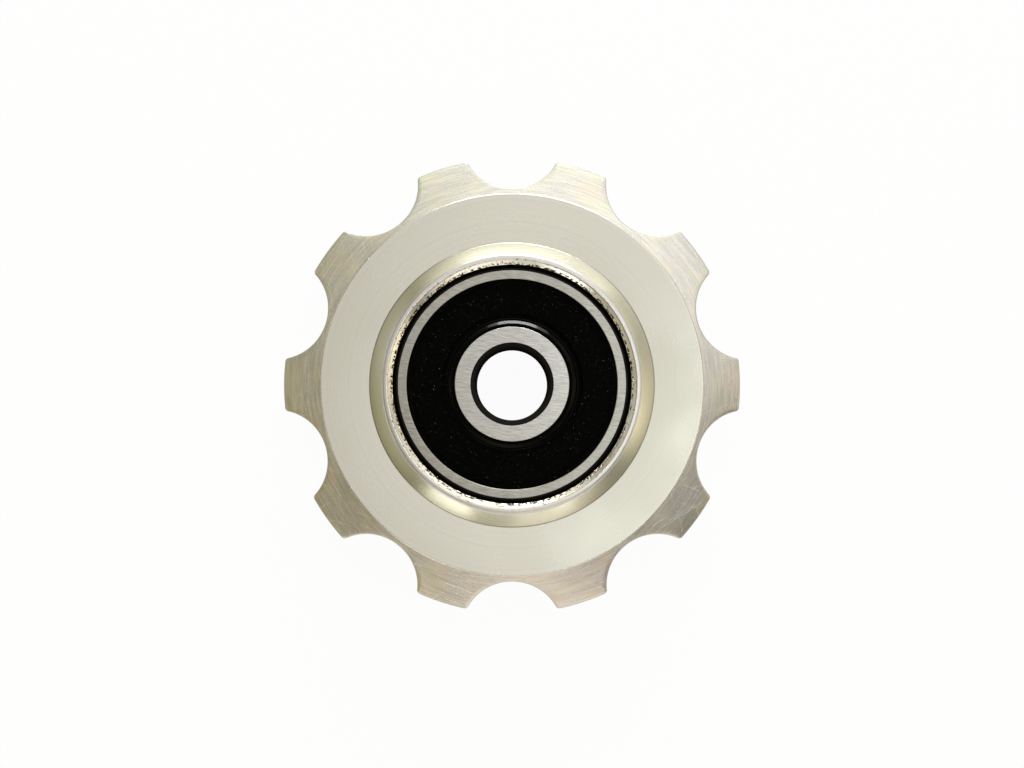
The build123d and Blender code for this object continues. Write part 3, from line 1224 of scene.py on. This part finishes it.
@dataclass
class Bearing:
    """The sealed ball bearing in the hub.

    Args:
        bore_radius: the radius of the bore.
        outside_radius: the radius of the outside.
        half: half of the bearing's width.
        seal_floor: the height of the seal's inner face.
        inner_wall: the inner ring's wall at its faces.
        outer_wall: the outer ring's wall at its faces.
        ball_radius: the radius of a ball.
        shoulder: how far a shoulder stands above the bottom of its raceway.
        race_radius: the raceways' section radius.
        race_gap: the clearance between ball and raceway.
        race_steps: how many straight steps a raceway has.
        recess: how far the seal's face lies below the ring's face.
        shelf_depth: how far the seal's shelf lies below its face.
        shelf_width: the width of that shelf.
        rim_depth: how far the seal's rim reaches into the outer ring.
        web_bevel: the bevel between the seal's face and its waist.
        waist_width: the width of the waist.
        lip_gap: the gap between the lip and the inner ring.
        lip_width: the width of the lip's top.
        lip_slope: the width of the slope from the lip to the waist.
        lip_rise: how far the lip stands above the seal's face.
        lip_seat: the depth and the height of the inner ring's step under the lip.
        bore_round: the rounding of the bore's edges.
        outside_round: the rounding of the outside's edges.
        edge_break: the rounding of the other edges.
        columns: the number of columns round the axle.
    """

    bore_radius: float
    outside_radius: float
    half: float
    seal_floor: float
    inner_wall: float = 1.68 * MM
    outer_wall: float = 0.9 * MM
    ball_radius: float = 1.75 * MM
    shoulder: float = 0.7 * MM
    race_radius: float = 1.82 * MM
    race_gap: float = 0.02 * MM
    race_steps: int = 16
    recess: float = 0.2 * MM
    shelf_depth: float = 0.07 * MM
    shelf_width: float = 0.45 * MM
    rim_depth: float = 0.22 * MM
    web_bevel: float = 0.12 * MM
    waist_width: float = 0.3 * MM
    lip_gap: float = 0.06 * MM
    lip_width: float = 0.2 * MM
    lip_slope: float = 0.43 * MM
    lip_rise: float = 0.06 * MM
    lip_seat: float = 0.2 * MM
    bore_round: float = 0.4 * MM
    outside_round: float = 0.2 * MM
    edge_break: float = 0.05 * MM
    columns: int = 288

    @property
    def ball_pitch(self) -> float:
        """The distance of the balls' centres from the axle."""
        return (self.bore_radius + self.outside_radius) / 2

    @property
    def inner_land(self) -> float:
        """The outside radius of the inner ring's face."""
        return self.bore_radius + self.inner_wall

    @property
    def outer_land(self) -> float:
        """The inside radius of the outer ring's face."""
        return self.outside_radius - self.outer_wall

    @property
    def face(self) -> float:
        """The height of the seal's face."""
        return self.half - self.recess

    @property
    def middle(self) -> float:
        """The height half way up the seal."""
        return (self.seal_floor + self.face) / 2

    def turned(self, name: str, corners: list[Corner]) -> bpy.types.Object:
        """Spins a closed section into a piece.

        Args:
            name: the piece's name.
            corners: its section's corners.

        Returns:
            The piece.
        """
        surfaces = list(dict.fromkeys(corner.surface for corner in corners))
        mesher = Mesher(name, surfaces)
        spin(mesher, Section(corners), [2 * math.pi * i / self.columns for i in range(self.columns)])
        return finished(mesher.mesh(), surfaces)

    def ring(self, name: str, centre: float, ends: Point, upper: list[Corner]) -> bpy.types.Object:
        """Makes a ring from its raceway and its front corners.

        Args:
            name: the piece's name.
            centre: the distance of the raceway's centre from the axle.
            ends: the angles of the raceway's first and last point.
            upper: the corners from the raceway over the front to the side away from the balls.

        Returns:
            The ring.
        """
        race = []
        for step in range(self.race_steps + 1):
            angle = ends[0] + (ends[1] - ends[0]) * step / self.race_steps
            r, z = centre + self.race_radius * math.cos(angle), self.race_radius * math.sin(angle)
            race.append(Corner(r, z, Surface.RACEWAY))
        return self.turned(name, race + upper + mirrored(upper, Surface.RACEWAY))

    def outer_ring(self) -> bpy.types.Object:
        """The outer ring, pressed into the hub.

        Returns:
            The ring.
        """
        shoulder = self.ball_pitch + self.ball_radius - self.shoulder
        centre = self.ball_pitch + self.ball_radius + self.race_gap - self.race_radius
        spread = math.acos((shoulder - centre) / self.race_radius)
        rim = self.outer_land + self.rim_depth
        upper = [
            Corner(shoulder, self.seal_floor, Surface.RACEWAY),
            Corner(rim, self.seal_floor, Surface.RACEWAY),
            Corner(rim, self.middle, Surface.RACEWAY),
            # The ring's wall over the seal and its outside are painted near black, painted shade in the
            # recesses
            Corner(self.outer_land, self.face - self.shelf_depth, Surface.RING_CORNER),
            Corner(self.outer_land, self.half, Surface.OUTER_RING_FACE, self.edge_break),
            Corner(self.outside_radius, self.half, Surface.RING_CORNER, self.outside_round),
        ]
        ring = self.ring("bearing_outer_ring", centre, (-spread, spread), upper)
        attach(ring, "wheel")
        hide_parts("outer_ring")
        return ring

    def inner_ring(self) -> bpy.types.Object:
        """The inner ring, which stays still on the bolt.

        Returns:
            The ring.
        """
        shoulder = self.ball_pitch - self.ball_radius + self.shoulder
        centre = self.ball_pitch - self.ball_radius - self.race_gap + self.race_radius
        spread = math.acos((centre - shoulder) / self.race_radius)
        seat = self.seal_floor - self.lip_seat
        upper = [
            Corner(shoulder, seat - self.lip_seat, Surface.RACEWAY),
            # The ring's wall under the seal's lip is painted near black, painted shade in the recess
            Corner(self.inner_land, seat, Surface.RING_CORNER),
            Corner(self.inner_land, self.half, Surface.INNER_RING_FACE, self.edge_break),
            # The bore and its rounding are painted near black, painted shade inside the hole
            Corner(self.bore_radius, self.half, Surface.BORE, self.bore_round),
        ]
        ring = self.ring("bearing_inner_ring", centre, (math.pi + spread, math.pi - spread), upper)
        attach(ring, "fixed_ring")
        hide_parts("inner_ring")
        return ring

    def seal(self, node: str, side: float) -> bpy.types.Object:
        """One rubber seal.

        Args:
            node: the CAD node that it stands for.
            side: 1 for the front and -1 for the rear.

        Returns:
            The seal.
        """
        rim = self.outer_land + self.rim_depth
        shelf = self.face - self.shelf_depth
        web = self.outer_land - self.shelf_width
        lip = self.inner_land + self.lip_gap
        crest = lip + self.lip_width
        waist = crest + self.lip_slope
        body, glossy = Surface.RUBBER, Surface.LIP
        places = [
            (rim, self.seal_floor, 0.0, body),
            (rim, self.middle, 0.0, body),
            (self.outer_land, shelf, 0.0, body),
            (web, shelf, 0.02, body),
            (web - self.shelf_depth, self.face, 0.05, body),
            (waist + self.waist_width + self.web_bevel, self.face, 0.05, body),
            (waist + self.waist_width, self.middle, 0.04, body),
            (waist, self.middle, 0.08, glossy),
            (crest, self.face + self.lip_rise, 0.08, body),
            (lip, self.face + self.lip_rise, 0.05, body),
            (lip, self.seal_floor, 0.0, body),
        ]
        corners = [Corner(r, side * z, surface, rounding * MM) for r, z, rounding, surface in places]
        name = "bearing_seal_front" if side > 0 else "bearing_seal_rear"
        seal = self.turned(name, corners)
        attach(seal, "wheel")
        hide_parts(node)
        return seal

    def build(self) -> list[bpy.types.Object]:
        """Makes the rings and the seals, and dresses the balls, the cage and its rivets.

        Returns:
            The new pieces.
        """
        for name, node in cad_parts.items():
            if name.startswith("ball_"):
                dress(node, material_of(Surface.BALL))
            if name.startswith(("cage_", "rivet_")):
                dress(node, material_of(Surface.SHEET_STEEL))
        return [
            self.outer_ring(),
            self.inner_ring(),
            self.seal("front_seal", 1.0),
            self.seal("rear_seal", -1.0),
        ]


def dress(node: bpy.types.Object, material: bpy.types.Material) -> None:
    """Gives a CAD node a material.

    Args:
        node: the CAD node's object.
        material: its new material.
    """
    if not node.material_slots:
        node.data.materials.append(material)
    for slot in node.material_slots:
        slot.material = material


@dataclass(frozen=True)
class Glow:
    """A soft patch of light in the studio's surroundings.

    Args:
        azimuth: its direction round the axle, in degrees from +X towards +Y.
        elevation: its height above the horizon, in degrees.
        reach: how far it spreads, in degrees.
        light: its light, linear, which may be below 0 for a shaded place.
    """

    azimuth: float
    elevation: float
    reach: float
    light: Colour


@dataclass(frozen=True)
class Lamp:
    """A rectangular studio lamp that points at the wheel.

    Args:
        name: its name.
        azimuth: its direction round the axle, in degrees from +X towards +Y.
        elevation: its height above the horizon, in degrees.
        width: its width across.
        height: its height.
        radiance: how bright its face is, where 1 is white.
        colour: its colour.
        distance: how far away it is.
    """

    name: str
    azimuth: float
    elevation: float
    width: float
    height: float
    radiance: float
    colour: Colour = WHITE
    distance: float = 0.4


def direction(azimuth: float, elevation: float) -> Vector:
    """The unit vector towards a place in the surroundings, given in degrees."""
    a, e = math.radians(azimuth), math.radians(elevation)
    return Vector((math.cos(a) * math.cos(e), math.sin(a) * math.cos(e), math.sin(e)))


@dataclass
class Studio:
    """The floor, the surroundings, the lamps and the camera.

    Args:
        floor: the height of the floor.
        base: the light of the surroundings where nothing else is.
        dimmest: the least light of the surroundings in any direction.
        glows: soft patches in the surroundings.
        lamps: the lamps.
        distance: the camera's distance from the bearing's face.
        elevation: the camera's height above the horizon, in degrees.
        tip_radius_px: the radius of the tooth tips in the picture, in pixels.
        image_width_px: the width of the picture, in pixels.
        floor_reach: how far the floor reaches to each side.
        floor_white: how much of the floor's look is plain white.
    """

    floor: float
    base: Colour = (0.40, 0.385, 0.288)
    dimmest: Colour = (0.11, 0.105, 0.095)
    glows: tuple[Glow, ...] = (
        Glow(325.0, 82.0, 40.0, (0.46, 0.42, 0.57)),
        Glow(216.0, 72.0, 18.0, (-0.16, -0.17, -0.22)),
        Glow(150.0, 2.0, 34.0, (-0.30, -0.29, -0.22)),
        Glow(208.0, 2.0, 30.0, (-0.28, -0.27, -0.20)),
        Glow(321.0, 0.0, 45.0, (-0.22, -0.21, -0.15)),
        Glow(321.0, 4.0, 13.0, (0.65, 0.61, 0.52)),
        Glow(72.0, 66.0, 30.0, (0.60, 0.62, 0.68)),
        Glow(198.0, 68.0, 40.0, (-0.23, -0.24, -0.29)),
        Glow(324.0, 67.0, 20.0, (-1.30, -1.35, -1.40)),
        Glow(286.0, 60.0, 18.0, (0.66, 0.58, 0.54)),
        Glow(352.0, 32.0, 26.0, (0.76, 0.66, 0.48)),
        Glow(36.0, 28.0, 22.0, (0.64, 0.64, 0.59)),
        Glow(113.0, 35.0, 19.0, (0.92, 0.92, 0.86)),
        Glow(160.0, 38.0, 22.0, (0.38, 0.38, 0.38)),
        Glow(200.0, 38.0, 24.0, (0.30, 0.29, 0.26)),
        Glow(260.0, 28.0, 24.0, (0.46, 0.44, 0.41)),
        Glow(300.0, 31.0, 15.0, (0.90, 0.82, 0.74)),
        Glow(342.0, 34.0, 15.0, (0.54, 0.50, 0.40)),
    )
    lamps: tuple[Lamp, ...] = (
        Lamp("lamp_top", 78.0, 38.0, 0.40, 0.18, 1.04),
        Lamp("lamp_strip", 85.0, 12.0, 0.25, 0.036, 34.0),
        Lamp("lamp_strip_ends", 84.0, 12.0, 0.42, 0.036, 9.0),
        Lamp("lamp_lower_left", 241.0, 34.0, 0.12, 0.20, 1.75, (1.0, 0.99, 0.97)),
        Lamp("lamp_bottom", 285.0, 34.0, 0.15, 0.18, 0.9, (1.0, 0.98, 0.96)),
        Lamp("lamp_overhead_right", 336.0, 80.0, 0.042, 0.042, 1.6, (0.93, 0.97, 1.0), 0.17),
    )
    distance: float = 100.0 * MM
    elevation: float = 88.8
    tip_radius_px: float = 226.8
    image_width_px: float = 1024.0
    floor_reach: float = 4.0
    floor_white: float = 0.95

    def surroundings(self) -> None:
        """Lights the scene from all round, with white behind the object."""
        world = bpy.data.worlds.new("studio_surroundings")
        bpy.context.scene.world = world
        world.use_nodes = True
        sketch = Sketch(world.node_tree)
        way = sketch.add("TexCoord").outputs["Generated"]
        light = sketch.add("RGB").outputs[0]
        light.default_value = (*self.base, 1.0)
        for glow in self.glows:
            dot = sketch.math("DOT_PRODUCT", way, direction(glow.azimuth, glow.elevation), kind="VectorMath")
            share = sketch.ramp(dot, math.cos(math.radians(glow.reach)), 1.0)
            patch = sketch.add("VectorMath", {"operation": "SCALE"}, Vector=glow.light, Scale=share)
            light = sketch.math("ADD", light, patch.outputs[0], kind="VectorMath", output="Vector")
        light = sketch.math("MAXIMUM", light, self.dimmest, kind="VectorMath", output="Vector")
        studio = sketch.add("Background", None, Color=light)
        white = sketch.add("Background", None, Color=WHITE)
        seen = sketch.add("LightPath").outputs["Is Camera Ray"]
        sketch.end("OutputWorld", sketch.blend(seen, studio, white))

    def floor_material(self) -> bpy.types.Material:
        """A white floor that keeps a faint shadow, and is clear from below.

        Returns:
            The material.
        """
        made = bpy.data.materials.new("floor_white")
        made.use_nodes = True
        sketch = Sketch(made.node_tree)
        cloth = sketch.add("BsdfDiffuse", None, Color=FLOOR_GREY)
        white = sketch.add("Emission", None, Color=WHITE, Strength=1.0)
        path = sketch.add("LightPath").outputs
        seen = sketch.math("MAXIMUM", path["Is Camera Ray"], path["Is Glossy Ray"])
        seen = sketch.math("MAXIMUM", seen, path["Is Transmission Ray"])
        both = sketch.blend(sketch.math("MULTIPLY", seen, self.floor_white), cloth, white)
        below = sketch.add("NewGeometry").outputs["Backfacing"]
        sketch.end("OutputMaterial", sketch.blend(below, both, sketch.add("BsdfTransparent")))
        return made

    def lay_floor(self) -> bpy.types.Object:
        """Lays a wide floor under the wheel.

        Returns:
            The floor.
        """
        sides = ((-1, -1), (1, -1), (1, 1), (-1, 1))
        corners = [(x * self.floor_reach, y * self.floor_reach, self.floor) for x, y in sides]
        mesh = bpy.data.meshes.new("floor")
        mesh.from_pydata(corners, [], [(0, 1, 2, 3)])
        mesh.materials.append(self.floor_material())
        made = placed("floor", mesh)
        return made

    def hang_lamps(self) -> None:
        """Hangs the lamps, each pointing at the wheel."""
        for lamp in self.lamps:
            data = bpy.data.lights.new(lamp.name, "AREA")
            data.shape = "RECTANGLE"
            data.size, data.size_y = lamp.width, lamp.height
            data.energy = lamp.radiance * math.pi * lamp.width * lamp.height
            data.color = lamp.colour
            towards = direction(lamp.azimuth, lamp.elevation)
            made = placed(lamp.name, data)
            made.location = towards * lamp.distance
            made.rotation_mode = "QUATERNION"
            made.rotation_quaternion = towards.to_track_quat("Z", "Y")

    def aim_camera(self, tip_radius: float, face: float) -> None:
        """Stands the camera over the wheel, at the photograph's scale.

        Args:
            tip_radius: the radius of the tooth tips.
            face: the height of the bearing's face.
        """
        data = bpy.data.cameras.new("camera")
        data.sensor_width = 36.0
        data.clip_start = 5 * MM
        data.clip_end = 10.0
        depth = self.distance + face
        data.lens = data.sensor_width * self.tip_radius_px * depth / (self.image_width_px * tip_radius)
        made = placed("camera", data)
        back = direction(-90.0, self.elevation)
        made.location = Vector((0.0, 0.0, face)) + back * self.distance
        made.rotation_mode = "QUATERNION"
        made.rotation_quaternion = back.to_track_quat("Z", "Y")
        bpy.context.scene.camera = made

    def build(self, tip_radius: float, face: float) -> None:
        """Makes the whole studio.

        Args:
            tip_radius: the radius of the tooth tips.
            face: the height of the bearing's face.
        """
        bpy.context.scene.view_settings.view_transform = "Standard"
        self.aim_camera(tip_radius, face)
        self.surroundings()
        self.lay_floor()
        self.hang_lamps()


def main() -> None:
    """Builds the wheel, its bearing and the studio."""
    logging.basicConfig(level=logging.INFO, format="%(name)s: %(message)s")
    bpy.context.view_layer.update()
    wheel_low, wheel_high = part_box("toothed_wheel")
    _, ring_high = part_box("outer_ring")
    seal_low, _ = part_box("front_seal")
    wheel = ToothedWheel(
        tip_radius=wheel_high.x, hub_half=wheel_high.z, seat_radius=ring_high.x, ring_half=ring_high.z
    )
    bearing = Bearing(
        bore_radius=3.0 * MM, outside_radius=ring_high.x, half=ring_high.z, seal_floor=seal_low.z
    )
    for piece in [wheel.build(), *bearing.build()]:
        LOG.info("%s has %d faces", piece.name, len(piece.data.polygons))
    floor_gap = 0.02 * MM
    Studio(floor=wheel_low.z - floor_gap).build(wheel_high.x, ring_high.z)


if __name__ == "__main__":
    main()
